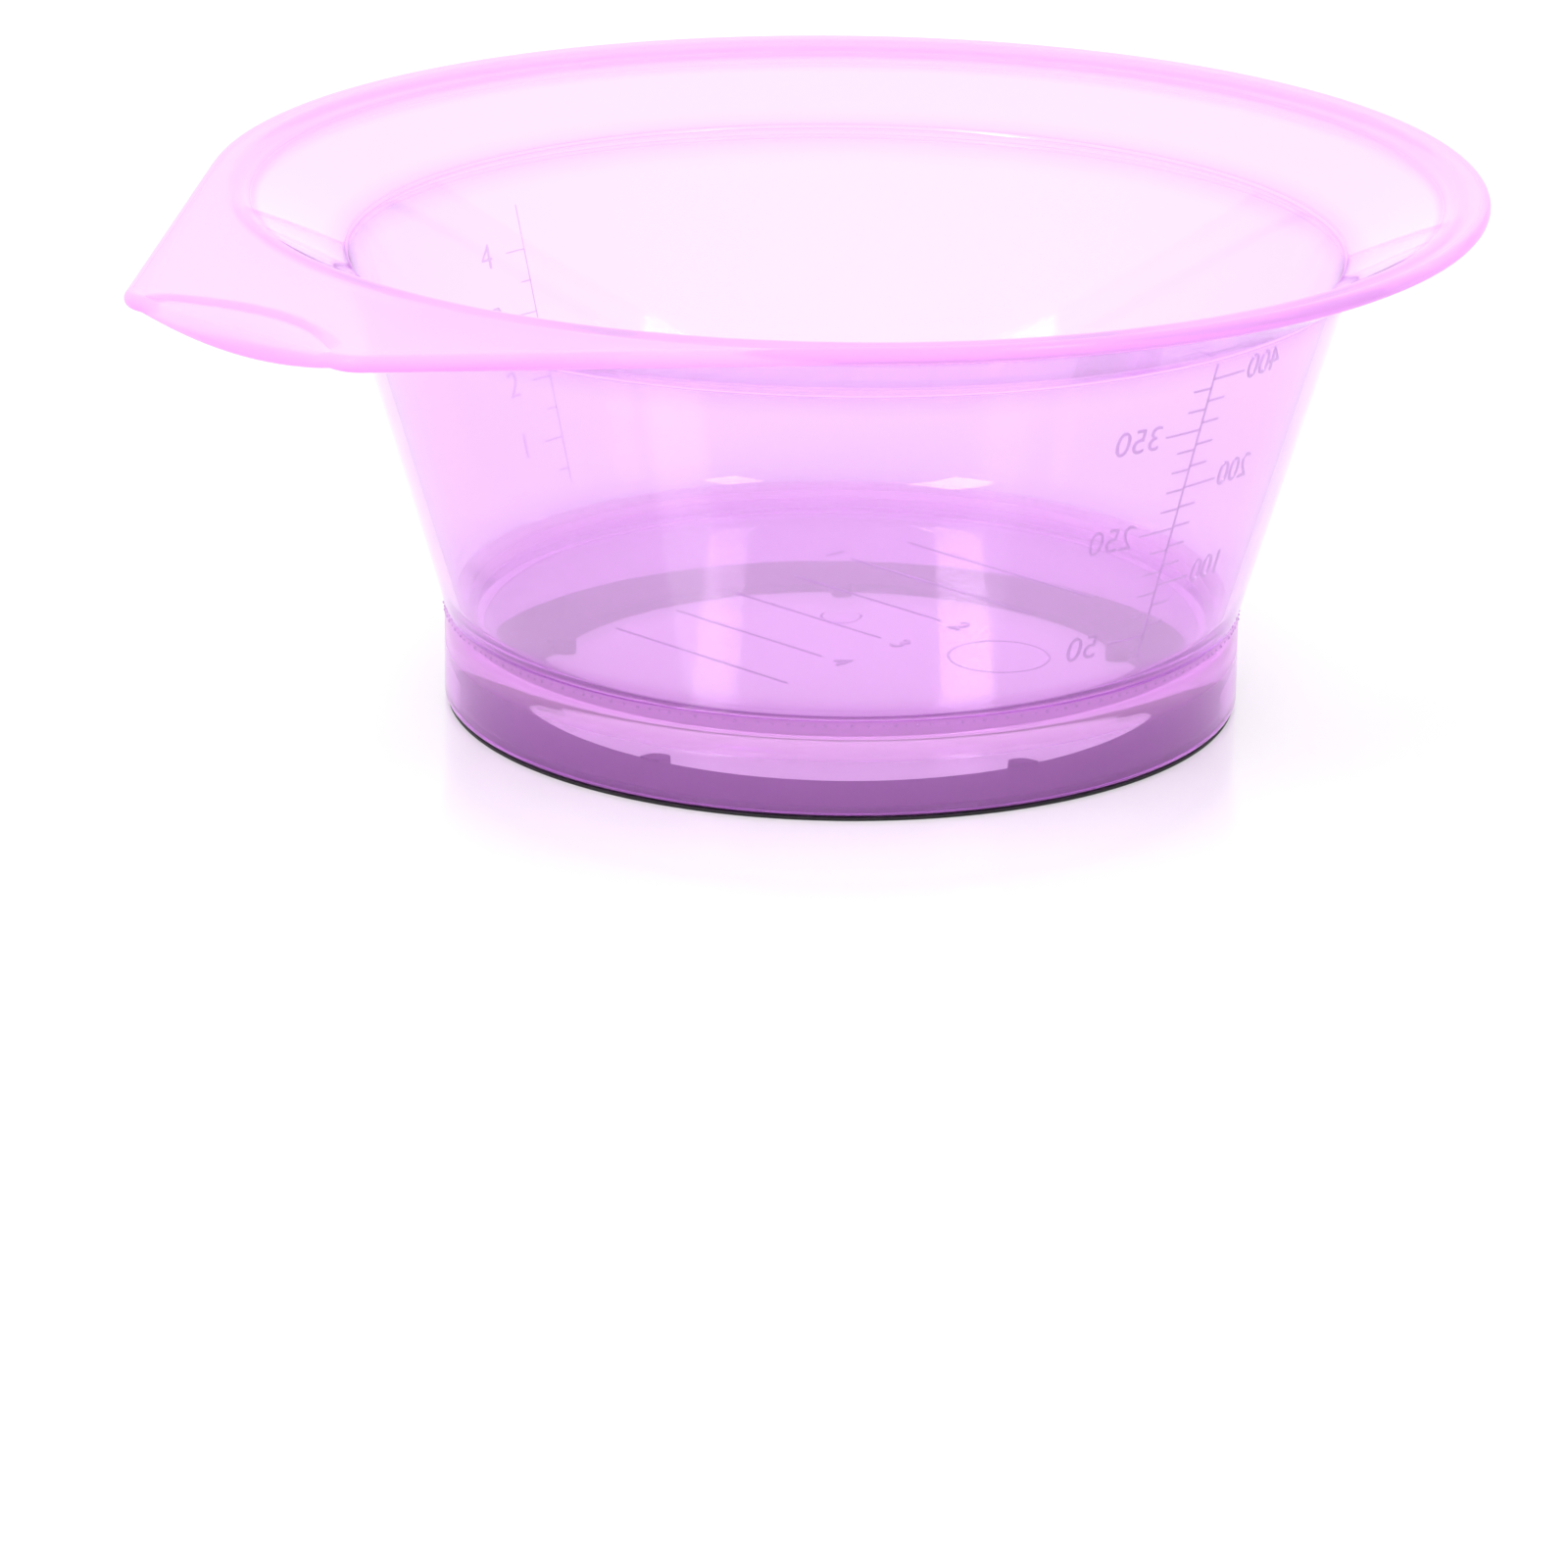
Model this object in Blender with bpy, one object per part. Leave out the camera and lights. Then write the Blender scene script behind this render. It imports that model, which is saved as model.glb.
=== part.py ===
"""Hair colour mixing bowl: one moulded bowl with a flat handle, and a rubber non-slip ring in its foot."""

import math

import bmesh
import bpy
from mathutils import Vector

MM = 0.001

# Driving dimensions, in millimetres. Heights are measured from the surface the bowl stands on.
HEIGHT = 64.0
RIM_RADIUS = 76.0
RIM_THICKNESS = 1.9
RIM_FLAT_WIDTH = 3.4
FLANGE_RISE = 31.2             # slope of the flange inside the flat rim, in degrees from level
WALL_LEAN = 16.3               # lean of the wall, in degrees from upright
WALL_THICKNESS = 1.5
FOOT_RADIUS = 48.0
FOOT_TOP = 12.2
FOOT_BOTTOM = 0.7
FOOT_THICKNESS = 1.5
FLOOR_HEIGHT = 10.6
FLOOR_THICKNESS = 1.8
FLOOR_CORNER_RADIUS = 6.0
GATE_RADIUS = 2.2
GATE_DEPTH = 0.4

HANDLE_LENGTH = 96.2           # from the bowl's axis to the handle's end
HANDLE_TANGENT_ANGLE = 50.0    # where the handle's straight sides leave the rim, in degrees from its axis
HANDLE_CORNER_RADIUS = 4.5
LIP_HALF_WIDTH = 15.5          # the lens-shaped grip lip in the handle's end
LIP_DEPTH = 5.3
LIP_STEP = 0.2
LIP_FALL = 0.5
LIP_BULGE = 1.6
LIP_ROUNDING = 0.6

RING_INNER_RADIUS = 36.8
RING_OUTER_RADIUS = 47.7
RING_HEIGHT = 1.3
RING_EDGE_HEIGHT = 0.4
RING_CHAMFER = 0.15
RING_LUGS = 5
RING_LUG_LENGTH = 2.4
RING_LUG_WIDTH = 2.6
RING_LUG_RISE = 0.5
RING_FIRST_LUG = 188.0         # degrees

FIT_GAP = 0.3                  # between the ring and the foot around it
TURN_STEPS = 96
CORNER_STEPS = 6

# The handle points along -X, so the middle of the whole length lies on that side of the bowl's axis.
BOWL_X = (HANDLE_LENGTH - RIM_RADIUS) / 2


def clear_scene():
    for item in list(bpy.data.objects):
        bpy.data.objects.remove(item, do_unlink=True)


def make_material(name, colour, roughness, alpha=1.0):
    material = bpy.data.materials.new(name)
    material.use_nodes = True
    shader = material.node_tree.nodes["Principled BSDF"]
    shader.inputs["Base Color"].default_value = (*colour, 1.0)
    shader.inputs["Roughness"].default_value = roughness
    shader.inputs["Metallic"].default_value = 0.0
    shader.inputs["Alpha"].default_value = alpha
    return material


def add_object(name, mesh, material=None):
    item = bpy.data.objects.new(name, mesh)
    bpy.context.collection.objects.link(item)
    if material:
        mesh.materials.append(material)
    return item


def add_helper(name, mesh):
    """An object that only shapes another one."""
    item = add_object(name, mesh)
    item.hide_render = True
    item.display_type = "WIRE"
    return item


def mesh_from(name, work):
    """Turn a bmesh in millimetres into a mesh in metres."""
    bmesh.ops.scale(work, vec=Vector((MM, MM, MM)), verts=work.verts)
    bmesh.ops.recalc_face_normals(work, faces=work.faces)
    mesh = bpy.data.meshes.new(name)
    work.to_mesh(mesh)
    work.free()
    return mesh


def arc(centre, radius, start, end, steps):
    """Points along an arc, with angles in degrees."""
    points = []
    for step in range(steps + 1):
        angle = math.radians(start + (end - start) * step / steps)
        points.append((centre[0] + radius * math.cos(angle), centre[1] + radius * math.sin(angle)))
    return points


def loft(work, sections):
    """Add a closed solid through sections that have the same number of points."""
    loops = [[work.verts.new(point) for point in section] for section in sections]
    count = len(loops[0])
    for first, second in zip(loops, loops[1:]):
        for i in range(count):
            j = (i + 1) % count
            work.faces.new((first[i], first[j], second[j], second[i]))
    work.faces.new(loops[0])
    work.faces.new(reversed(loops[-1]))


def turn(name, section, material):
    """Turn a closed section (radius, height) round the Z axis. A side that lies on the axis is left open."""
    mesh = bpy.data.meshes.new(name)
    edges = []
    for first, point in enumerate(section):
        second = (first + 1) % len(section)
        if point[0] > 0 or section[second][0] > 0:
            edges.append((first, second))
    mesh.from_pydata([(radius * MM, 0, height * MM) for radius, height in section], edges, [])
    item = add_object(name, mesh, material)
    screw = item.modifiers.new("turn", "SCREW")
    screw.steps = TURN_STEPS
    screw.render_steps = TURN_STEPS
    screw.use_merge_vertices = True
    screw.merge_threshold = 0.00001
    screw.use_smooth_shade = True
    return item


def add_boolean(item, tool, operation):
    boolean = item.modifiers.new(tool.name, "BOOLEAN")
    boolean.operation = operation
    boolean.object = tool
    boolean.solver = "EXACT"


def mouth_corner(offset):
    """Where the wall meets the flange: the inner faces at offset 0, the outer faces at offset 1."""
    wall_run = math.tan(math.radians(WALL_LEAN))
    flange_slope = math.tan(math.radians(FLANGE_RISE))
    wall_inset = (1 - offset) * WALL_THICKNESS / math.cos(math.radians(WALL_LEAN))
    flange_drop = offset * RIM_THICKNESS / math.cos(math.radians(FLANGE_RISE))
    wall_start = FOOT_RADIUS - wall_inset - wall_run * FOOT_TOP
    flange_start = HEIGHT - flange_drop - flange_slope * (RIM_RADIUS - RIM_FLAT_WIDTH)
    height = (flange_start + flange_slope * wall_start) / (1 - flange_slope * wall_run)
    return wall_start + wall_run * height, height


def bowl_section():
    """The bowl's half section: down the outside to the foot, under the floor, and back up inside."""
    wall_run = math.tan(math.radians(WALL_LEAN))
    flange_slope = math.tan(math.radians(FLANGE_RISE))
    inner_corner = mouth_corner(0)
    outer_corner = mouth_corner(1)

    # The flange ends inside the flat rim, just below its top.
    end_radius = RIM_RADIUS - 1.8
    end_top = HEIGHT - 0.05
    end_bottom = outer_corner[1] + flange_slope * (end_radius - outer_corner[0])
    top_radius = inner_corner[0] + (end_top - inner_corner[1]) / flange_slope

    # The floor's corner touches the floor and the inside of the wall. The underside is parallel to it.
    wall_at_floor = inner_corner[0] - wall_run * (inner_corner[1] - FLOOR_HEIGHT)
    reach = FLOOR_CORNER_RADIUS * math.tan(math.radians(90 - WALL_LEAN) / 2)
    corner = wall_at_floor - reach, FLOOR_HEIGHT + FLOOR_CORNER_RADIUS
    under_radius = FLOOR_CORNER_RADIUS + FLOOR_THICKNESS
    foot_inside = FOOT_RADIUS - FOOT_THICKNESS
    under_end = math.degrees(math.acos((foot_inside - corner[0]) / under_radius))
    gate_height = FLOOR_HEIGHT - FLOOR_THICKNESS - GATE_DEPTH
    edge = 0.3

    section = [
        (end_radius, end_top),
        (end_radius, end_bottom),
        outer_corner,
        (FOOT_RADIUS, FOOT_TOP),
        (FOOT_RADIUS, FOOT_BOTTOM + edge),
        (FOOT_RADIUS - edge, FOOT_BOTTOM),
        (foot_inside + edge, FOOT_BOTTOM),
        (foot_inside, FOOT_BOTTOM + edge),
    ]
    section += arc(corner, under_radius, -under_end, -90, CORNER_STEPS)
    section += [(GATE_RADIUS, gate_height + GATE_DEPTH), (GATE_RADIUS - edge, gate_height), (0, gate_height)]
    section += [(0, FLOOR_HEIGHT)]
    section += arc(corner, FLOOR_CORNER_RADIUS, -90, -WALL_LEAN, CORNER_STEPS)
    section += [inner_corner, (top_radius, end_top)]
    return section


def handle_outline():
    """The outer edge of the flat rim and the handle, as points around the bowl's axis."""
    tangent = math.radians(HANDLE_TANGENT_ANGLE)
    # The corner's arc touches the straight side and the handle's end.
    corner_along = HANDLE_LENGTH - HANDLE_CORNER_RADIUS
    corner_across = (RIM_RADIUS - HANDLE_CORNER_RADIUS - corner_along * math.cos(tangent)) / math.sin(tangent)
    leave = 180 - HANDLE_TANGENT_ANGLE
    upper = arc((0, 0), RIM_RADIUS, 0, leave, 30)
    upper += arc((-corner_along, corner_across), HANDLE_CORNER_RADIUS, leave, 180, 5)
    lower = [(x, -y) for x, y in reversed(upper)]
    return upper + lower[:-1]


def make_rim_plate():
    """The flat rim and the handle: one plate with a rounded edge, before the mouth is cut out of it."""
    work = bmesh.new()
    outline = handle_outline()
    bottom = [(x, y, HEIGHT - RIM_THICKNESS) for x, y in outline]
    top = [(x, y, HEIGHT) for x, y in outline]
    loft(work, [bottom, top])
    level = [edge for edge in work.edges if abs(edge.verts[0].co.z - edge.verts[1].co.z) < 1e-6]
    bmesh.ops.bevel(work, geom=level, offset=RIM_THICKNESS * 0.42, segments=3, profile=0.5, affect="EDGES")
    return add_helper("rim_plate", mesh_from("rim_plate", work))


def make_mouth_cutter():
    work = bmesh.new()
    radius = RIM_RADIUS - RIM_FLAT_WIDTH + 0.5
    bmesh.ops.create_cone(work, cap_ends=True, segments=TURN_STEPS, radius1=radius, radius2=radius, depth=12)
    bmesh.ops.translate(work, vec=Vector((0, 0, HEIGHT)), verts=work.verts)
    return add_helper("mouth_cutter", mesh_from("mouth_cutter", work))


def lip_stations():
    """Across the lens-shaped lip: the offset, how far along its inner edge lies, and its swell (0 to 1)."""
    steps = 12
    stations = []
    for step in range(steps + 1):
        across = 0.985 * LIP_HALF_WIDTH * (2 * step / steps - 1)
        swell = 1 - (across / LIP_HALF_WIDTH) ** 2
        stations.append((across, HANDLE_LENGTH - LIP_DEPTH * swell, swell))
    return stations


def make_lip_cutter():
    """Clears the plate where the grip lip goes."""
    work = bmesh.new()
    outer = HANDLE_LENGTH + 3
    low = HEIGHT - 4
    high = HEIGHT + 2
    sections = []
    for across, inner, swell in lip_stations():
        sections.append([(-inner, across, high), (-outer, across, high),
                         (-outer, across, low), (-inner, across, low)])
    loft(work, sections)
    return add_helper("lip_cutter", mesh_from("lip_cutter", work))


def make_grip_lip():
    """The handle's end between its corners: it turns down a little and swells below the plate."""
    work = bmesh.new()
    overlap = 0.9
    end = HANDLE_LENGTH - LIP_ROUNDING
    sections = []
    for across, inner, swell in lip_stations():
        top = HEIGHT - LIP_STEP - LIP_FALL * swell
        bottom = HEIGHT - RIM_THICKNESS - LIP_BULGE * swell
        section = [(inner - overlap, HEIGHT - LIP_STEP)]
        section += arc((end, top - LIP_ROUNDING), LIP_ROUNDING, 90, 0, 3)
        section += arc((end, bottom + LIP_ROUNDING), LIP_ROUNDING, 0, -90, 3)
        section += [(inner - overlap, HEIGHT - RIM_THICKNESS + 0.03)]
        sections.append([(-along, across, height) for along, height in section])
    loft(work, sections)
    return add_helper("grip_lip", mesh_from("grip_lip", work))


def make_bowl(material):
    bowl = turn("bowl", bowl_section(), material)
    plate = make_rim_plate()
    add_boolean(plate, make_mouth_cutter(), "DIFFERENCE")
    add_boolean(plate, make_lip_cutter(), "DIFFERENCE")
    add_boolean(plate, make_grip_lip(), "UNION")
    add_boolean(bowl, plate, "UNION")


def ring_section():
    """A flat annulus that passes under the foot's edge, and is thicker where it fills the foot's inside."""
    step_radius = FOOT_RADIUS - FOOT_THICKNESS - FIT_GAP
    return [
        (RING_OUTER_RADIUS, RING_EDGE_HEIGHT),
        (RING_OUTER_RADIUS, RING_CHAMFER),
        (RING_OUTER_RADIUS - RING_CHAMFER, 0),
        (RING_INNER_RADIUS + RING_CHAMFER, 0),
        (RING_INNER_RADIUS, RING_CHAMFER),
        (RING_INNER_RADIUS, RING_HEIGHT),
        (step_radius, RING_HEIGHT),
        (step_radius, RING_EDGE_HEIGHT),
    ]


def make_lugs():
    """Small tongues that point inwards from the ring's edge and stand a little above it."""
    work = bmesh.new()
    half = RING_LUG_WIDTH / 2
    near = RING_INNER_RADIUS - RING_LUG_LENGTH
    far = RING_INNER_RADIUS + 0.6
    outline = [(far, -half)] + arc((near + half, 0), half, -90, -270, 6) + [(far, half)]
    for lug in range(RING_LUGS):
        angle = math.radians(RING_FIRST_LUG + 360 * lug / RING_LUGS)
        cosine = math.cos(angle)
        sine = math.sin(angle)
        placed = [(x * cosine - y * sine, x * sine + y * cosine) for x, y in outline]
        bottom = [(x, y, RING_CHAMFER) for x, y in placed]
        top = [(x, y, RING_HEIGHT + RING_LUG_RISE) for x, y in placed]
        loft(work, [bottom, top])
    return add_helper("ring_lugs", mesh_from("ring_lugs", work))


def make_ring(material):
    ring = turn("non_slip_ring", ring_section(), material)
    add_boolean(ring, make_lugs(), "UNION")


def place_on_origin():
    """Everything is modelled round the bowl's axis; the origin belongs under the middle of the whole length."""
    for item in bpy.data.objects:
        item.location.x = BOWL_X * MM


def main():
    clear_scene()
    plastic = make_material("violet_polypropylene", (0.72, 0.34, 0.86), 0.18, 0.6)
    rubber = make_material("black_rubber", (0.02, 0.02, 0.022), 0.75)
    make_bowl(plastic)
    make_ring(rubber)
    place_on_origin()


main()
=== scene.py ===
"""The hair colour bowl as it looks: clear violet plastic on a luminous white table."""

import math

import bmesh
import bpy
from mathutils import Matrix, Vector


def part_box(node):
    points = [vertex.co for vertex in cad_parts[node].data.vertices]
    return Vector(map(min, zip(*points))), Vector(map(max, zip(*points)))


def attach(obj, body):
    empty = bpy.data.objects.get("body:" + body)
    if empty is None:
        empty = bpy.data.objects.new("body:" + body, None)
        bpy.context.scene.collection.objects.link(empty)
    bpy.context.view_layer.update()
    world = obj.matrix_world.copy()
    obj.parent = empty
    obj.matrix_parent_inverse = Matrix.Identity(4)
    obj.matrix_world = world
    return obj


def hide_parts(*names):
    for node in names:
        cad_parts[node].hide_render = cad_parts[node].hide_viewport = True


MM = 0.001

# Shape, in millimetres, round the bowl's axis. Heights start at the table.
RIM_RADIUS = 76.0
RIM_THICKNESS = 1.9
RIM_FLAT_WIDTH = 3.4
FLANGE_RISE = math.radians(31.2)
WALL_LEAN = math.radians(16.3)
WALL_THICKNESS = 1.5
FOOT_RADIUS = 48.0
FOOT_TOP = 12.2
FOOT_BOTTOM = 0.7
FOOT_THICKNESS = 1.5
FLOOR_HEIGHT = 10.6
FLOOR_THICKNESS = 1.8
FLOOR_CORNER_RADIUS = 6.0
GATE_RADIUS = 2.2
GATE_DEPTH = 0.4

# Roundings of the bowl's corners.
MOUTH_ROUNDING = 0.9
UNDER_MOUTH_ROUNDING = 0.6
RIM_START_ROUNDING = 2.4
FOOT_TOP_ROUNDING = 2.0
FOOT_EDGE_ROUNDING = 0.35
UNDER_FLOOR_ROUNDING = 4.2
GATE_ROUNDING = 0.2

HANDLE_TANGENT = math.radians(50)
HANDLE_CORNER_RADIUS = 4.5
LIP_HALF_WIDTH = 15.5
LIP_DEPTH = 5.3
LIP_STEP = 0.22
LIP_FALL = 0.5
LIP_BULGE = 1.6
CREASE_ROOM = 0.2              # between the rounded edge and the crease that bounds the lip
CREASE_RUN = 0.12              # how far the lip's step runs outwards

RING_INNER_RADIUS = 36.8
RING_OUTER_RADIUS = 47.7
RING_HEIGHT = 1.3
RING_EDGE_HEIGHT = 0.4
RING_LUGS = 5
RING_LUG_LENGTH = 2.4
RING_LUG_WIDTH = 2.6
RING_LUG_RISE = 0.5
RING_LUG_ROOT = 0.9            # how far a lug reaches into the ring
RING_FIRST_LUG = math.radians(188)
FIT_GAP = 0.3

# Moulded marks stand this far out of the plastic and reach a little into it.
MARK_RISE = 0.14
MARK_ROOT = 0.04
MARK_WIDTH = 0.26
DIGIT_SIZE = 4.5
FLOOR_DIGIT_SIZE = 4.2
FAINT_WIDTH = 0.2
FAINT_RISE = 0.08
FLOOR_LINE_WIDTH = 0.3

RIM_STEPS = 256
LONGEST_STRETCH = 3.0          # between two rows of points

# How milky the plastic's faces are, from 0 to 1, and the colour that the milk scatters, half of it back
# and half of it on. Thin walls are pale, the upright foot is deep violet, and the rim is pink.
BASE_HAZE = 0.12
FLOOR_HAZE = 0.16
SKIRT_HAZE = 0.25
RIM_HAZE = 0.4
EDGE_HAZE = 0.65
MARK_HAZE = 0.3
FAINT_MARK_HAZE = 0.12
THIN_MILK = (0.90, 0.68, 1.0, 1)
DEEP_MILK = (0.80, 0.28, 0.95, 1)
THICK_MILK = (1.0, 0.60, 1.0, 1)
MARK_MILK = (0.62, 0.38, 0.76, 1)

# The clear part of the plastic. Light bends in it less than it does in the real one, which keeps thin
# edges from turning dark, and the gloss on top has the real strength.
FACE_TINT = (0.98, 0.875, 0.995, 1)
DEPTH_TINT = (0.90, 0.0, 1.0, 1)
DEPTH_DENSITY = 60.0
BEND = 1.12
GLOSS_IOR = 1.49

# Light, and the camera's place, in metres from the bowl's axis.
TABLE_GLOW = 0.35
TABLE_GREY = 0.45
WORLD_LIGHT = 1.15
SOFTBOX_DISTANCE = 0.9
SOFTBOX_ELEVATION = 50
CAMERA_BEARING = math.radians(224)
CAMERA_DISTANCE = 0.769
CAMERA_HEIGHT = 0.2565


# ---------------------------------------------------------------- meshes


def add_piece(name, mesh, material):
    """A mesh round the bowl's axis as a piece of the one body."""
    piece = bpy.data.objects.new(name, mesh)
    bpy.context.collection.objects.link(piece)
    mesh.materials.append(material)
    piece.location = AXIS
    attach(piece, "root")
    return piece


def finish_mesh(name, work, sharp=None):
    """A bmesh in millimetres as a smooth mesh in metres."""
    bmesh.ops.scale(work, vec=Vector((MM, MM, MM)), verts=work.verts)
    bmesh.ops.recalc_face_normals(work, faces=work.faces)
    mesh = bpy.data.meshes.new(name)
    work.to_mesh(mesh)
    work.free()
    mesh.shade_smooth()
    if sharp is not None:
        mesh.set_sharp_from_angle(angle=math.radians(sharp))
    return mesh


def arc(centre, radius, start, end, steps):
    """Points along an arc, angles in radians."""
    angles = [start + (end - start) * step / steps for step in range(steps + 1)]
    return [(centre[0] + radius * math.cos(a), centre[1] + radius * math.sin(a)) for a in angles]


def straight(start, end, steps):
    """Points along a straight line, with both its ends."""
    return [tuple(Vector(start).lerp(Vector(end), i / steps)) for i in range(steps + 1)]


def rounded(corners, step=math.radians(8), guard=0.25):
    """A path (radius, height) through corners (radius, height, fillet).

    Each fillet is an arc, with one more point just before it and one just after, so that the shading
    of the long faces beside it stays even.
    """
    path = [corners[0][:2]]
    for before, here, after in zip(corners, corners[1:], corners[2:]):
        corner = Vector(here[:2])
        to_before = (Vector(before[:2]) - corner).normalized()
        to_after = (Vector(after[:2]) - corner).normalized()
        half = to_before.angle(to_after) / 2
        fillet = here[2]
        reach = fillet / math.tan(half)
        centre = corner + (to_before + to_after).normalized() * fillet / math.sin(half)
        turn = math.pi - 2 * half
        steps = max(2, math.ceil(turn / step))
        first = corner + to_before * reach - centre
        last = corner + to_after * reach - centre
        path.append(tuple(corner + to_before * (reach + guard)))
        for i in range(steps + 1):
            share = i / steps
            spoke = (first * (1 - share) + last * share).normalized() * fillet
            path.append(tuple(centre + spoke))
        path.append(tuple(corner + to_after * (reach + guard)))
    path.append(corners[-1][:2])
    return divided(path, LONGEST_STRETCH)


def divided(path, longest):
    """The path with points added so that no stretch is longer than this."""
    fine = [path[0]]
    for start, end in zip(path, path[1:]):
        steps = max(1, math.ceil((Vector(end) - Vector(start)).length / longest))
        fine += straight(start, end, steps)[1:]
    return fine


def grid_mesh(name, rows, close_ends, haze=None):
    """A surface through rows of points that each go once round. A row of one point is a pole.

    haze holds each row's milkiness, for the plastic's material to read.
    """
    work = bmesh.new()
    made = [[work.verts.new(point) for point in row] for row in rows]
    pairs = list(zip(made, made[1:]))
    if not close_ends:
        pairs.append((made[-1], made[0]))
    for first, second in pairs:
        count = max(len(first), len(second))
        for i in range(count):
            j = (i + 1) % count
            if len(first) == 1:
                work.faces.new((first[0], second[i], second[j]))
            elif len(second) == 1:
                work.faces.new((first[i], second[0], first[j]))
            else:
                work.faces.new((first[i], second[i], second[j], first[j]))
    mesh = finish_mesh(name, work)
    if haze:
        layer = mesh.attributes.new("haze", "FLOAT", "POINT")
        layer.data.foreach_set("value", [value for row, value in zip(rows, haze) for _ in row])
    return mesh


# ---------------------------------------------------------------- the bowl


def mouth_corner(offset):
    """Where the wall meets the flange: the inner faces at offset 0, the outer faces at offset 1."""
    wall_run = math.tan(WALL_LEAN)
    flange_slope = math.tan(FLANGE_RISE)
    wall_inset = (1 - offset) * WALL_THICKNESS / math.cos(WALL_LEAN)
    flange_drop = offset * RIM_THICKNESS / math.cos(FLANGE_RISE)
    wall_start = FOOT_RADIUS - wall_inset - wall_run * FOOT_TOP
    flange_start = HEIGHT - flange_drop - flange_slope * (RIM_RADIUS - RIM_FLAT_WIDTH)
    height = (flange_start + flange_slope * wall_start) / (1 - flange_slope * wall_run)
    return wall_start + wall_run * height, height


def inner_wall(height):
    """The wall's inner radius at a height."""
    corner = mouth_corner(0)
    return corner[0] - math.tan(WALL_LEAN) * (corner[1] - height)


def inside_path():
    """From the middle of the floor up the inside to the start of the flat rim."""
    rim_start = RIM_RADIUS - RIM_FLAT_WIDTH
    flat_run = 1.0
    return rounded([
        (0, FLOOR_HEIGHT),
        (inner_wall(FLOOR_HEIGHT), FLOOR_HEIGHT, FLOOR_CORNER_RADIUS),
        (*mouth_corner(0), MOUTH_ROUNDING),
        (rim_start, HEIGHT, RIM_START_ROUNDING),
        (rim_start + flat_run, HEIGHT),
    ])


def outside_path():
    """From under the flat rim down the outside, round the foot's edge and under the floor to its middle."""
    flange_drop = RIM_THICKNESS / math.cos(FLANGE_RISE)
    under_rim = HEIGHT - RIM_THICKNESS
    rim_start = RIM_RADIUS - RIM_FLAT_WIDTH + (flange_drop - RIM_THICKNESS) / math.tan(FLANGE_RISE)
    foot_inside = FOOT_RADIUS - FOOT_THICKNESS
    under = FLOOR_HEIGHT - FLOOR_THICKNESS
    flat_run = 1.2
    return rounded([
        (rim_start + flat_run, under_rim),
        (rim_start, under_rim, RIM_START_ROUNDING),
        (*mouth_corner(1), UNDER_MOUTH_ROUNDING),
        (FOOT_RADIUS, FOOT_TOP, FOOT_TOP_ROUNDING),
        (FOOT_RADIUS, FOOT_BOTTOM, FOOT_EDGE_ROUNDING),
        (foot_inside, FOOT_BOTTOM, FOOT_EDGE_ROUNDING),
        (foot_inside, under, UNDER_FLOOR_ROUNDING),
        (GATE_RADIUS + GATE_DEPTH, under, GATE_ROUNDING),
        (GATE_RADIUS, under - GATE_DEPTH, GATE_ROUNDING),
        (0, under - GATE_DEPTH),
    ])


def outline():
    """The rim's and the handle's outer edge as (point, outward normal), once round from +X."""
    half = []
    leave = math.pi - HANDLE_TANGENT
    round_steps = round(RIM_STEPS * leave / math.tau)
    for point in arc((0, 0), RIM_RADIUS, 0, leave, round_steps):
        half.append((Vector(point), Vector(point).normalized()))

    # The straight side touches the rim's circle at one end and the handle's corner at the other.
    normal = Vector((math.cos(leave), math.sin(leave)))
    corner_x = -HANDLE_LENGTH + HANDLE_CORNER_RADIUS
    reach = RIM_RADIUS - HANDLE_CORNER_RADIUS
    corner_y = (reach + corner_x * math.cos(HANDLE_TANGENT)) / math.sin(HANDLE_TANGENT)
    corner = Vector((corner_x, corner_y))
    start = normal * RIM_RADIUS
    end = corner + normal * HANDLE_CORNER_RADIUS
    side_steps = 28
    corner_steps = 10
    end_steps = 18
    for i in range(1, side_steps):
        half.append((start.lerp(end, i / side_steps), normal))
    for point in arc(corner, HANDLE_CORNER_RADIUS, leave, math.pi, corner_steps):
        half.append((Vector(point), (Vector(point) - corner).normalized()))
    for i in range(1, end_steps + 1):
        place = Vector((-HANDLE_LENGTH, corner_y * (1 - i / end_steps)))
        half.append((place, Vector((-1, 0))))

    mirrored = [(Vector((p.x, -p.y)), Vector((n.x, -n.y))) for p, n in reversed(half[1:-1])]
    return half + mirrored


def lip_swell(point):
    """How far inside the lens-shaped lip a point of the edge lies: 0 at its tips, 1 in its middle."""
    if point.x > -HANDLE_LENGTH + 0.01:
        return 0
    return max(0, 1 - (point.y / LIP_HALF_WIDTH) ** 2)


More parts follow.
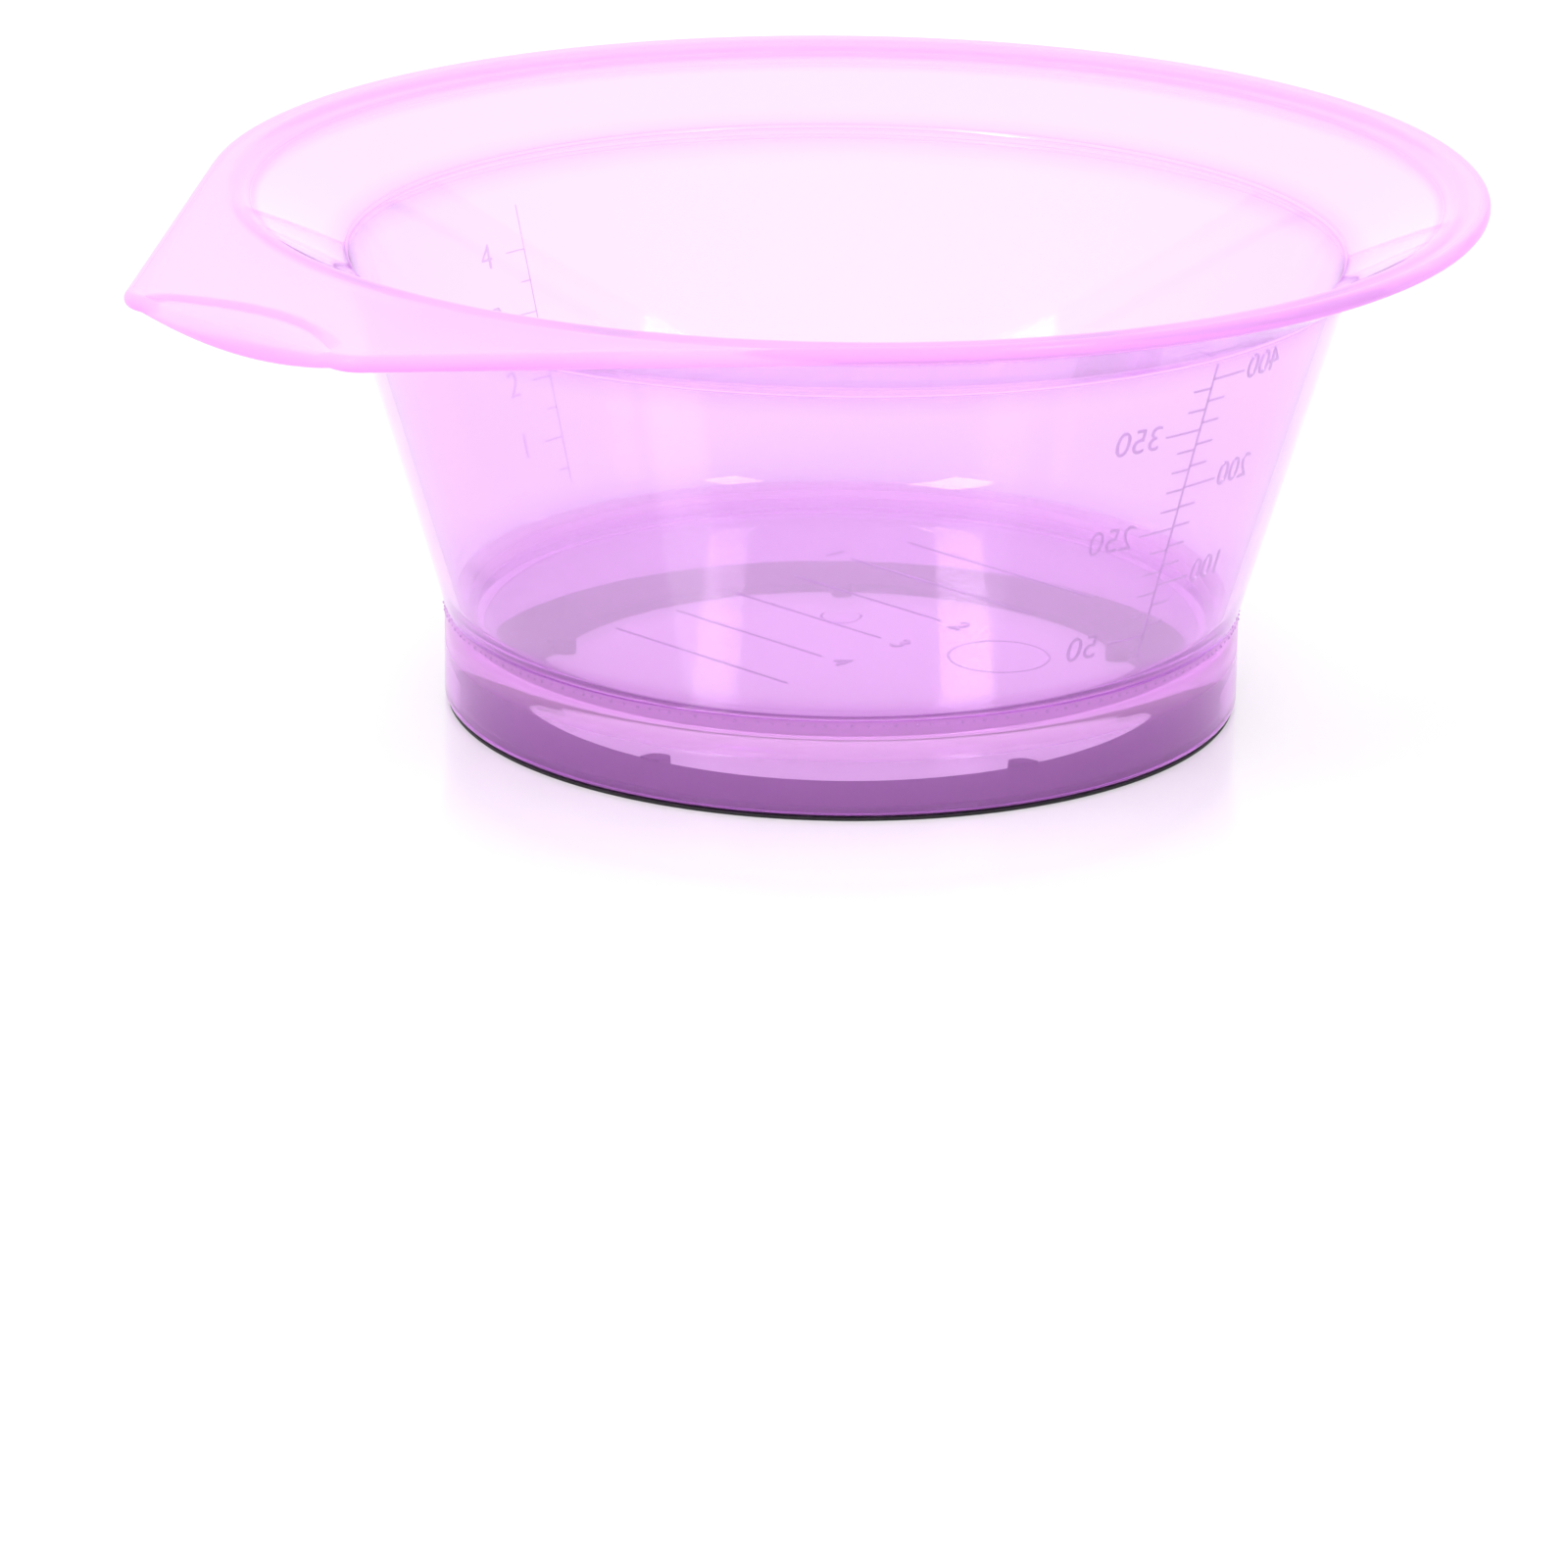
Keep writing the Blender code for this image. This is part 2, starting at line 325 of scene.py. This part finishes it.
def rim_rows(edge, inner_top, inner_bottom):
    """Rows over the flat rim and the handle, round the edge, and back underneath, with each row's haze.

    Every row has one point for each point of the edge. The lip's step follows its own curved line.
    """
    half = RIM_THICKNESS / 2
    plate_rows = 7
    slope_rows = 4
    edge_rows = 10
    tops = [[] for _ in range(plate_rows + 2 + slope_rows)]
    edges = [[] for _ in range(edge_rows)]
    bottoms = [[] for _ in range(slope_rows + plate_rows)]
    for point, normal in edge:
        out = point.normalized()
        swell = lip_swell(point)
        step = LIP_STEP * min(1, 5 * swell)
        inset = (half + CREASE_ROOM + LIP_DEPTH * swell) / out.dot(normal)
        start = out * inner_top
        shoulder = point - normal * half
        crease = point - out * inset
        for i in range(plate_rows):
            place = start.lerp(crease, (i + 1) / (plate_rows + 1))
            tops[i].append((*place, HEIGHT))
        tops[plate_rows].append((*crease, HEIGHT))
        foot_of_step = crease + out * CREASE_RUN
        tops[plate_rows + 1].append((*foot_of_step, HEIGHT - step))
        for i in range(slope_rows):
            share = (i + 1) / (slope_rows + 1)
            place = foot_of_step.lerp(shoulder, share)
            tops[plate_rows + 2 + i].append((*place, HEIGHT - step - LIP_FALL * swell * share))

        # The edge is a half circle that leans down with the lip.
        high = HEIGHT - step - LIP_FALL * swell
        low = HEIGHT - RIM_THICKNESS - LIP_BULGE * swell
        middle = (high + low) / 2
        for i in range(edge_rows):
            angle = math.pi / 2 - math.pi * i / (edge_rows - 1)
            place = shoulder + normal * half * math.cos(angle)
            edges[i].append((*place, middle + (high - low) / 2 * math.sin(angle)))

        base = out * inner_bottom
        for i in range(slope_rows):
            share = (i + 1) / (slope_rows + 1)
            place = shoulder.lerp(crease, share)
            drop = LIP_BULGE * swell * (1 - share ** 2)
            bottoms[i].append((*place, HEIGHT - RIM_THICKNESS - drop))
        for i in range(plate_rows):
            place = crease.lerp(base, i / plate_rows)
            bottoms[slope_rows + i].append((*place, HEIGHT - RIM_THICKNESS))
    haze = [RIM_HAZE] * plate_rows + [EDGE_HAZE] * 2 + [RIM_HAZE] * slope_rows
    haze += [EDGE_HAZE] * edge_rows + [RIM_HAZE] * (slope_rows + plate_rows)
    return tops + edges + bottoms, haze


def haze_along(path):
    """How milky the plastic looks along a path: more at its corners, where light has a longer way through."""
    rim_start = RIM_RADIUS - RIM_FLAT_WIDTH
    floor_edge = FOOT_RADIUS - 4.0
    # Each spot has its place, the haze that it adds there, and how far that reaches.
    spots = (
        (mouth_corner(0), 0.30, 0.5),
        (mouth_corner(1), 0.30, 0.5),
        ((rim_start, HEIGHT), 0.40, 1.5),
        ((rim_start, HEIGHT - RIM_THICKNESS), 0.40, 1.5),
        ((FOOT_RADIUS - 3.0, FLOOR_HEIGHT), 0.08, 4.0),
        ((FOOT_RADIUS, FLOOR_HEIGHT), 0.20, 1.8),
    )
    values = []
    for place in path:
        value = BASE_HAZE
        if place[1] < FOOT_TOP:
            value = FLOOR_HAZE if place[0] < floor_edge else SKIRT_HAZE
        for spot, amount, reach in spots:
            away = (Vector(place) - Vector(spot)).length
            value += amount * math.exp(-(away / reach) ** 2)
        values.append(value)
    return values


def make_bowl(material):
    """The whole bowl as one closed surface: the inside, the rim with the handle, and the outside."""
    edge = outline()
    spokes = [point.normalized() for point, _ in edge]

    def turned(path):
        rows = []
        for radius, height in path:
            row = [(*(spoke * radius), height) for spoke in spokes]
            rows.append(row if radius > 0 else [(0, 0, height)])
        return rows

    inside = inside_path()
    outside = outside_path()
    rim, rim_haze = rim_rows(edge, inside[-1][0], outside[0][0])
    rows = turned(inside) + rim + turned(outside)
    haze = haze_along(inside) + rim_haze + haze_along(outside)
    mesh = grid_mesh("bowl_shell", rows, close_ends=True, haze=haze)
    shell = add_piece("bowl_shell", mesh, material)
    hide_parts("bowl")


# ---------------------------------------------------------------- moulded marks


class WallSurface:
    """The inside of the wall: across is along the arc, up is the height, out is towards the bowl's axis."""

    reading = -1               # writing runs against the arc, so that it reads from inside

    def __init__(self, angle):
        self.angle = angle

    def place(self, across, up, out):
        radius = inner_wall(up)
        turn = self.angle + across / radius
        inward = radius - out * math.cos(WALL_LEAN)
        return inward * math.cos(turn), inward * math.sin(turn), up + out * math.sin(WALL_LEAN)


class FloorSurface:
    """The floor's top: across points to -Y and up to +X, so that writing reads from the handle's side."""

    reading = 1

    def place(self, across, up, out):
        return up, -across, FLOOR_HEIGHT + out


def add_ridge(work, surface, points, width=MARK_WIDTH, rise=MARK_RISE):
    """A thin raised line along points (across, up) on a surface, with sloping sides."""
    section = [(-0.5, -MARK_ROOT), (-0.5, 0), (-0.22, rise), (0.22, rise), (0.5, 0), (0.5, -MARK_ROOT)]
    loops = []
    for i, (across, up) in enumerate(points):
        before = Vector(points[max(0, i - 1)])
        after = Vector(points[min(len(points) - 1, i + 1)])
        along = (after - before).normalized()
        side = Vector((-along.y, along.x)) * width
        loop = []
        for offset, out in section:
            place = surface.place(across + side.x * offset, up + side.y * offset, out)
            loop.append(work.verts.new(place))
        loops.append(loop)
    count = len(section)
    for first, second in zip(loops, loops[1:]):
        for i in range(count):
            j = (i + 1) % count
            work.faces.new((first[i], first[j], second[j], second[i]))
    work.faces.new(loops[0])
    work.faces.new(reversed(loops[-1]))


def add_writing(work, surface, words, across, up, size=DIGIT_SIZE):
    """Raised figures, centred on a place of a surface and bent to it."""
    curve = bpy.data.curves.new("writing", "FONT")
    curve.body = words
    curve.size = size
    curve.align_x = "CENTER"
    curve.align_y = "CENTER"
    curve.extrude = (MARK_RISE + MARK_ROOT) / 2
    curve.offset = -0.012 * size
    curve.resolution_u = 4
    writer = bpy.data.objects.new("writing", curve)
    bpy.context.collection.objects.link(writer)
    depsgraph = bpy.context.evaluated_depsgraph_get()
    flat = bpy.data.meshes.new_from_object(writer.evaluated_get(depsgraph))
    bpy.data.objects.remove(writer)
    letters = bmesh.new()
    letters.from_mesh(flat)
    bmesh.ops.remove_doubles(letters, verts=letters.verts, dist=0.0005)
    lift = (MARK_RISE - MARK_ROOT) / 2
    for vert in letters.verts:
        x, y, z = vert.co
        vert.co = surface.place(across + surface.reading * x, up + y, z + lift)
    bent = bpy.data.meshes.new("bent")
    letters.to_mesh(bent)
    letters.free()
    work.from_mesh(bent)
    bpy.data.meshes.remove(bent)
    bpy.data.meshes.remove(flat)
    bpy.data.curves.remove(curve)


def make_volume_scale(material):
    """A stem with millilitre marks on both sides, numbered in turn left and right."""
    surface = WallSurface(math.radians(270))
    work = bmesh.new()
    add_ridge(work, surface, straight((0, 15.7), (0, 53.2), 12))
    numbered = {
        1: [("100", 25.1), ("200", 37.65), ("400", 51.3)],
        -1: [("50", 18.65), ("250", 32.45), ("350", 45.0)],
    }
    long_tick = 5.4
    short_tick = 2.8
    figures_at = 9.4
    pitch = 2.6                # of the two short ticks beyond a side's last figure
    gaps = 5                   # between two numbered ticks
    for side, marks in numbered.items():
        for words, height in marks:
            add_ridge(work, surface, straight((0, height), (side * long_tick, height), 4))
            add_writing(work, surface, words, side * figures_at, height)
        heights = [height for _, height in marks]
        between = []
        for low, high in zip(heights, heights[1:]):
            between += [low + (high - low) * i / gaps for i in range(1, gaps)]
        if side > 0:
            between += [heights[0] - pitch, heights[0] - 2 * pitch]
        else:
            between += [heights[-1] + pitch, heights[-1] + 2 * pitch]
        for height in between:
            add_ridge(work, surface, straight((0, height), (side * short_tick, height), 2))
    add_piece("volume_scale", finish_mesh("volume_scale", work, 20), material)


def make_ounce_scale(material):
    """The fainter scale on the other wall, with a long tick at each figure and a short one below it."""
    surface = WallSurface(math.radians(90))
    work = bmesh.new()
    long_tick = 3.2
    short_tick = 1.6
    figures_at = 6.8
    half_pitch = 3.8
    lines = [straight((0, 16.0), (0, 50.0), 12)]
    for words, height in (("1", 21.7), ("2", 29.2), ("3", 37.0), ("4", 44.6)):
        halfway = height - half_pitch
        lines.append(straight((0, height), (long_tick, height), 3))
        lines.append(straight((0, halfway), (short_tick, halfway), 2))
        add_writing(work, surface, words, figures_at, height)
    for line in lines:
        add_ridge(work, surface, line, FAINT_WIDTH, FAINT_RISE)
    add_piece("ounce_scale", finish_mesh("ounce_scale", work, 20), material)


def make_floor_ruler(material):
    """Parallel centimetre lines on the floor with their figures, and a faint round mark."""
    surface = FloorSurface()
    work = bmesh.new()
    spacing = 10.1
    first = -2.5 * spacing
    far_end = -13.0
    near_ends = (15.8, 11.5, 11.5, 11.7, 17.3, 18.0)
    figure_gap = 3.2
    for i, near_end in enumerate(near_ends):
        along = first + i * spacing
        line = straight((far_end, along), (near_end, along), 1)
        add_ridge(work, surface, line, FLOOR_LINE_WIDTH, rise=0.12)
    for words, i in (("4", 1), ("3", 2), ("2", 3)):
        add_writing(work, surface, words, near_ends[i] + figure_gap, first + i * spacing, FLOOR_DIGIT_SIZE)
    add_writing(work, surface, "1", far_end - 3.0, first + 4 * spacing, FLOOR_DIGIT_SIZE)
    circle = arc((26.0, 0), 6.0, 0, math.tau, 48)
    add_ridge(work, surface, circle, FLOOR_LINE_WIDTH, rise=0.05)
    add_piece("floor_ruler", finish_mesh("floor_ruler", work, 20), material)


def make_dotted_line(material):
    """A row of small, slightly uneven pips round the top of the foot."""
    work = bmesh.new()
    pips = 196
    radius = FOOT_RADIUS + 0.02
    height = FOOT_TOP - 0.55
    for i in range(pips):
        angle = math.tau * (i + 0.22 * math.sin(7.3 * i)) / pips
        size = 0.2 + 0.05 * math.sin(3.7 * i)
        place = Matrix.Translation((radius * math.cos(angle), radius * math.sin(angle), height))
        bmesh.ops.create_icosphere(work, subdivisions=1, radius=size, matrix=place)
    add_piece("dotted_line", finish_mesh("dotted_line", work), material)


# ---------------------------------------------------------------- the ring


def make_ring(material):
    """The flat rubber ring, thicker where it fills the foot's inside, and its lugs."""
    step_radius = FOOT_RADIUS - FOOT_THICKNESS - FIT_GAP
    corner = 0.15
    path_start = 40.0          # the path starts and ends on the ring's flat top
    path_end = 39.0
    section = rounded([
        (path_start, RING_HEIGHT),
        (step_radius, RING_HEIGHT, 0.2),
        (step_radius, RING_EDGE_HEIGHT, corner),
        (RING_OUTER_RADIUS, RING_EDGE_HEIGHT, corner),
        (RING_OUTER_RADIUS, 0, corner),
        (RING_INNER_RADIUS, 0, corner),
        (RING_INNER_RADIUS, RING_HEIGHT, 0.3),
        (path_end, RING_HEIGHT),
    ], guard=0.05)
    rows = []
    for radius, height in section:
        row = []
        for i in range(RIM_STEPS):
            angle = math.tau * i / RIM_STEPS
            row.append((radius * math.cos(angle), radius * math.sin(angle), height))
        rows.append(row)
    mesh = grid_mesh("ring_body", rows, close_ends=False)
    ring = add_piece("ring_body", mesh, material)
    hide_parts("non_slip_ring")
    make_ring_lugs(material)


def make_ring_lugs(material):
    """Small tongues with a round end and a rounded top, on the ring's inner edge."""
    work = bmesh.new()
    half = RING_LUG_WIDTH / 2
    near = RING_INNER_RADIUS - RING_LUG_LENGTH
    far = RING_INNER_RADIUS + RING_LUG_ROOT
    round_end = arc((near + half, 0), half, -math.pi / 2, -3 * math.pi / 2, 12)
    shape = [(far, -half)] + round_end + [(far, half)]
    top = RING_HEIGHT + RING_LUG_RISE
    bottom = 0.05
    for lug in range(RING_LUGS):
        turn = Matrix.Rotation(RING_FIRST_LUG + math.tau * lug / RING_LUGS, 3, "Z")
        lower = [work.verts.new(turn @ Vector((x, y, bottom))) for x, y in shape]
        upper = [work.verts.new(turn @ Vector((x, y, top))) for x, y in shape]
        work.faces.new(lower)
        work.faces.new(upper)
        for i in range(len(shape)):
            j = (i + 1) % len(shape)
            work.faces.new((lower[i], lower[j], upper[j], upper[i]))
    edges = [edge for edge in work.edges if all(vert.co.z == top for vert in edge.verts)]
    bmesh.ops.bevel(work, geom=edges, offset=0.35, segments=4, profile=0.5, affect="EDGES")
    add_piece("ring_lugs", finish_mesh("ring_lugs", work, 40), material)


# ---------------------------------------------------------------- materials


def new_material(name):
    """A material with its nodes, its links and its main shader."""
    material = bpy.data.materials.new(name)
    material.use_nodes = True
    nodes = material.node_tree.nodes
    return material, nodes, material.node_tree.links, nodes["Principled BSDF"]


def add_noise(nodes, links, scale, detail=3.0):
    """Noise that is fixed to the piece."""
    coordinates = nodes.new("ShaderNodeTexCoord")
    noise = nodes.new("ShaderNodeTexNoise")
    noise.inputs["Scale"].default_value = scale
    noise.inputs["Detail"].default_value = detail
    links.new(coordinates.outputs["Object"], noise.inputs["Vector"])
    return noise


def add_range(nodes, links, source, low, high):
    """A noise stretched so that it runs from low to high."""
    span = nodes.new("ShaderNodeMapRange")
    span.inputs["From Min"].default_value = 0.3    # most of the noise lies between these two
    span.inputs["From Max"].default_value = 0.7
    span.inputs["To Min"].default_value = low
    span.inputs["To Max"].default_value = high
    links.new(source, span.inputs["Value"])
    return span.outputs["Result"]


def add_bump(nodes, links, shader, source, strength, distance):
    """Fine unevenness in the shader's surface, as deep as the distance in metres."""
    bump = nodes.new("ShaderNodeBump")
    bump.inputs["Strength"].default_value = strength
    bump.inputs["Distance"].default_value = distance
    links.new(source, bump.inputs["Height"])
    links.new(bump.outputs["Normal"], shader.inputs["Normal"])


def add_milk(nodes, links, shader):
    """Milk mixed over a shader: the mix, and the two scatterers that hold the milk's colour."""
    back = nodes.new("ShaderNodeBsdfDiffuse")
    on = nodes.new("ShaderNodeBsdfTranslucent")
    milk = nodes.new("ShaderNodeMixShader")
    mix = nodes.new("ShaderNodeMixShader")
    links.new(back.outputs["BSDF"], milk.inputs[1])
    links.new(on.outputs["BSDF"], milk.inputs[2])
    links.new(shader.outputs["BSDF"], mix.inputs[1])
    links.new(milk.outputs["Shader"], mix.inputs[2])
    links.new(mix.outputs["Shader"], nodes["Material Output"].inputs["Surface"])
    return mix, (back, on)


def milk_colour(nodes, links, haze):
    """The milk's colour, which follows from how milky the plastic is."""
    ramp = nodes.new("ShaderNodeValToRGB")
    elements = ramp.color_ramp.elements
    elements[0].position = BASE_HAZE
    elements[0].color = THIN_MILK
    elements[1].position = RIM_HAZE
    elements[1].color = THICK_MILK
    elements.new(SKIRT_HAZE).color = DEEP_MILK
    links.new(haze, ramp.inputs["Fac"])
    return ramp.outputs["Color"]


def violet_plastic(name, mark_haze=None):
    """Clear violet plastic with milky faces: as milky as the mesh says, or evenly for a moulded mark."""
    material, nodes, links, shader = new_material(name)
    shader.inputs["Base Color"].default_value = FACE_TINT
    shader.inputs["Transmission Weight"].default_value = 1.0
    shader.inputs["IOR"].default_value = BEND
    shader.inputs["Coat Weight"].default_value = 1.0
    shader.inputs["Coat IOR"].default_value = GLOSS_IOR
    shader.inputs["Coat Roughness"].default_value = 0.04
    noise = add_noise(nodes, links, 60)
    links.new(add_range(nodes, links, noise.outputs["Fac"], 0.02, 0.05), shader.inputs["Roughness"])
    ripple = add_noise(nodes, links, 25, detail=1.0)
    add_bump(nodes, links, shader, ripple.outputs["Fac"], 0.04, 0.0004)

    mix, scatterers = add_milk(nodes, links, shader)
    if mark_haze:
        mix.inputs["Fac"].default_value = mark_haze
        for scatterer in scatterers:
            scatterer.inputs["Color"].default_value = MARK_MILK
    else:
        haze = nodes.new("ShaderNodeAttribute")
        haze.attribute_name = "haze"
        links.new(haze.outputs["Fac"], mix.inputs["Fac"])
        colour = milk_colour(nodes, links, haze.outputs["Fac"])
        for scatterer in scatterers:
            links.new(colour, scatterer.inputs["Color"])
        absorption = nodes.new("ShaderNodeVolumeAbsorption")
        absorption.inputs["Color"].default_value = DEPTH_TINT
        absorption.inputs["Density"].default_value = DEPTH_DENSITY
        links.new(absorption.outputs["Volume"], nodes["Material Output"].inputs["Volume"])
    return material


def black_rubber():
    """Matt black rubber with a fine grain."""
    material, nodes, links, shader = new_material("black_rubber")
    noise = add_noise(nodes, links, 900, detail=4.0)
    ramp = nodes.new("ShaderNodeValToRGB")
    ramp.color_ramp.elements[0].position = 0.3
    ramp.color_ramp.elements[0].color = (0.010, 0.010, 0.011, 1)
    ramp.color_ramp.elements[1].position = 0.7
    ramp.color_ramp.elements[1].color = (0.022, 0.021, 0.023, 1)
    links.new(noise.outputs["Fac"], ramp.inputs["Fac"])
    links.new(ramp.outputs["Color"], shader.inputs["Base Color"])
    links.new(add_range(nodes, links, noise.outputs["Fac"], 0.45, 0.6), shader.inputs["Roughness"])
    add_bump(nodes, links, shader, noise.outputs["Fac"], 0.15, 0.0001)
    shader.inputs["Specular IOR Level"].default_value = 0.25
    return material


# ---------------------------------------------------------------- stage


def make_stage():
    """A white, faintly glossy, luminous table under an even white sky."""
    work = bmesh.new()
    bmesh.ops.create_grid(work, x_segments=1, y_segments=1, size=3.0)
    mesh = bpy.data.meshes.new("table")
    work.to_mesh(mesh)
    work.free()
    table = bpy.data.objects.new("table", mesh)
    bpy.context.collection.objects.link(table)
    material, nodes, links, shader = new_material("white_table")
    shader.inputs["Base Color"].default_value = (TABLE_GREY, TABLE_GREY, TABLE_GREY, 1)
    shader.inputs["Roughness"].default_value = 0.08
    shader.inputs["Emission Color"].default_value = (1, 1, 1, 1)
    shader.inputs["Emission Strength"].default_value = TABLE_GLOW
    mesh.materials.append(material)

    world = bpy.data.worlds.new("white_sky")
    world.use_nodes = True
    world.node_tree.nodes["Background"].inputs["Color"].default_value = (1, 1, 1, 1)
    world.node_tree.nodes["Background"].inputs["Strength"].default_value = WORLD_LIGHT
    bpy.context.scene.world = world
    bpy.context.scene.view_settings.view_transform = "Standard"


def add_softbox(name, bearing, size, power):
    """An area light that faces the bowl. The bearing is in degrees from the camera, to its right."""
    lamp = bpy.data.lights.new(name, "AREA")
    lamp.shape = "RECTANGLE"
    lamp.size, lamp.size_y = size
    lamp.energy = power
    light = bpy.data.objects.new(name, lamp)
    turn = CAMERA_BEARING + math.radians(bearing)
    rise = math.radians(SOFTBOX_ELEVATION)
    away = Vector((math.cos(turn) * math.cos(rise), math.sin(turn) * math.cos(rise), math.sin(rise)))
    light.location = AXIS + away * SOFTBOX_DISTANCE
    light.rotation_mode = "QUATERNION"
    light.rotation_quaternion = away.to_track_quat("Z", "Y")
    bpy.context.collection.objects.link(light)


def make_camera():
    """A long lens that looks down at the bowl from beside its handle."""
    heading = math.radians(-45.5)
    pitch = math.radians(19.26)
    roll = math.radians(0.6)
    lens = bpy.data.cameras.new("camera")
    lens.sensor_width = 36
    lens.lens = 153
    lens.clip_start = 0.05
    lens.clip_end = 20
    camera = bpy.data.objects.new("camera", lens)
    bpy.context.collection.objects.link(camera)
    away = Vector((math.cos(CAMERA_BEARING), math.sin(CAMERA_BEARING), 0)) * CAMERA_DISTANCE
    away.z = CAMERA_HEIGHT
    turn = Matrix.Rotation(heading, 4, "Z") @ Matrix.Rotation(math.pi / 2 - pitch, 4, "X")
    turn = turn @ Matrix.Rotation(roll, 4, "Z")
    camera.matrix_world = Matrix.Translation(AXIS + away) @ turn
    bpy.context.scene.camera = camera


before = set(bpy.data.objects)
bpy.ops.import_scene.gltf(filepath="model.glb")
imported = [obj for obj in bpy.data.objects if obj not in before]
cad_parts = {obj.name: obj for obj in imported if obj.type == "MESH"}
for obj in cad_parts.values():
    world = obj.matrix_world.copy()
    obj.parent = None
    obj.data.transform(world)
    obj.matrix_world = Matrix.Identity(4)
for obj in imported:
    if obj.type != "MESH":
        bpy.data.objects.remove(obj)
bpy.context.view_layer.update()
low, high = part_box("bowl")
HEIGHT = high.z / MM
AXIS = Vector((high.x - RIM_RADIUS * MM, 0, 0))
HANDLE_LENGTH = (AXIS.x - low.x) / MM

plastic = violet_plastic("violet_plastic")
mark_plastic = violet_plastic("violet_mark", MARK_HAZE)
faint_mark_plastic = violet_plastic("faint_violet_mark", FAINT_MARK_HAZE)
rubber = black_rubber()
make_bowl(plastic)
make_volume_scale(mark_plastic)
make_ounce_scale(faint_mark_plastic)
make_floor_ruler(mark_plastic)
make_dotted_line(mark_plastic)
make_ring(rubber)
make_stage()
add_softbox("left_softbox", -45, (0.18, 0.5), 5)
add_softbox("right_softbox", 44, (0.15, 0.3), 1.3)
make_camera()
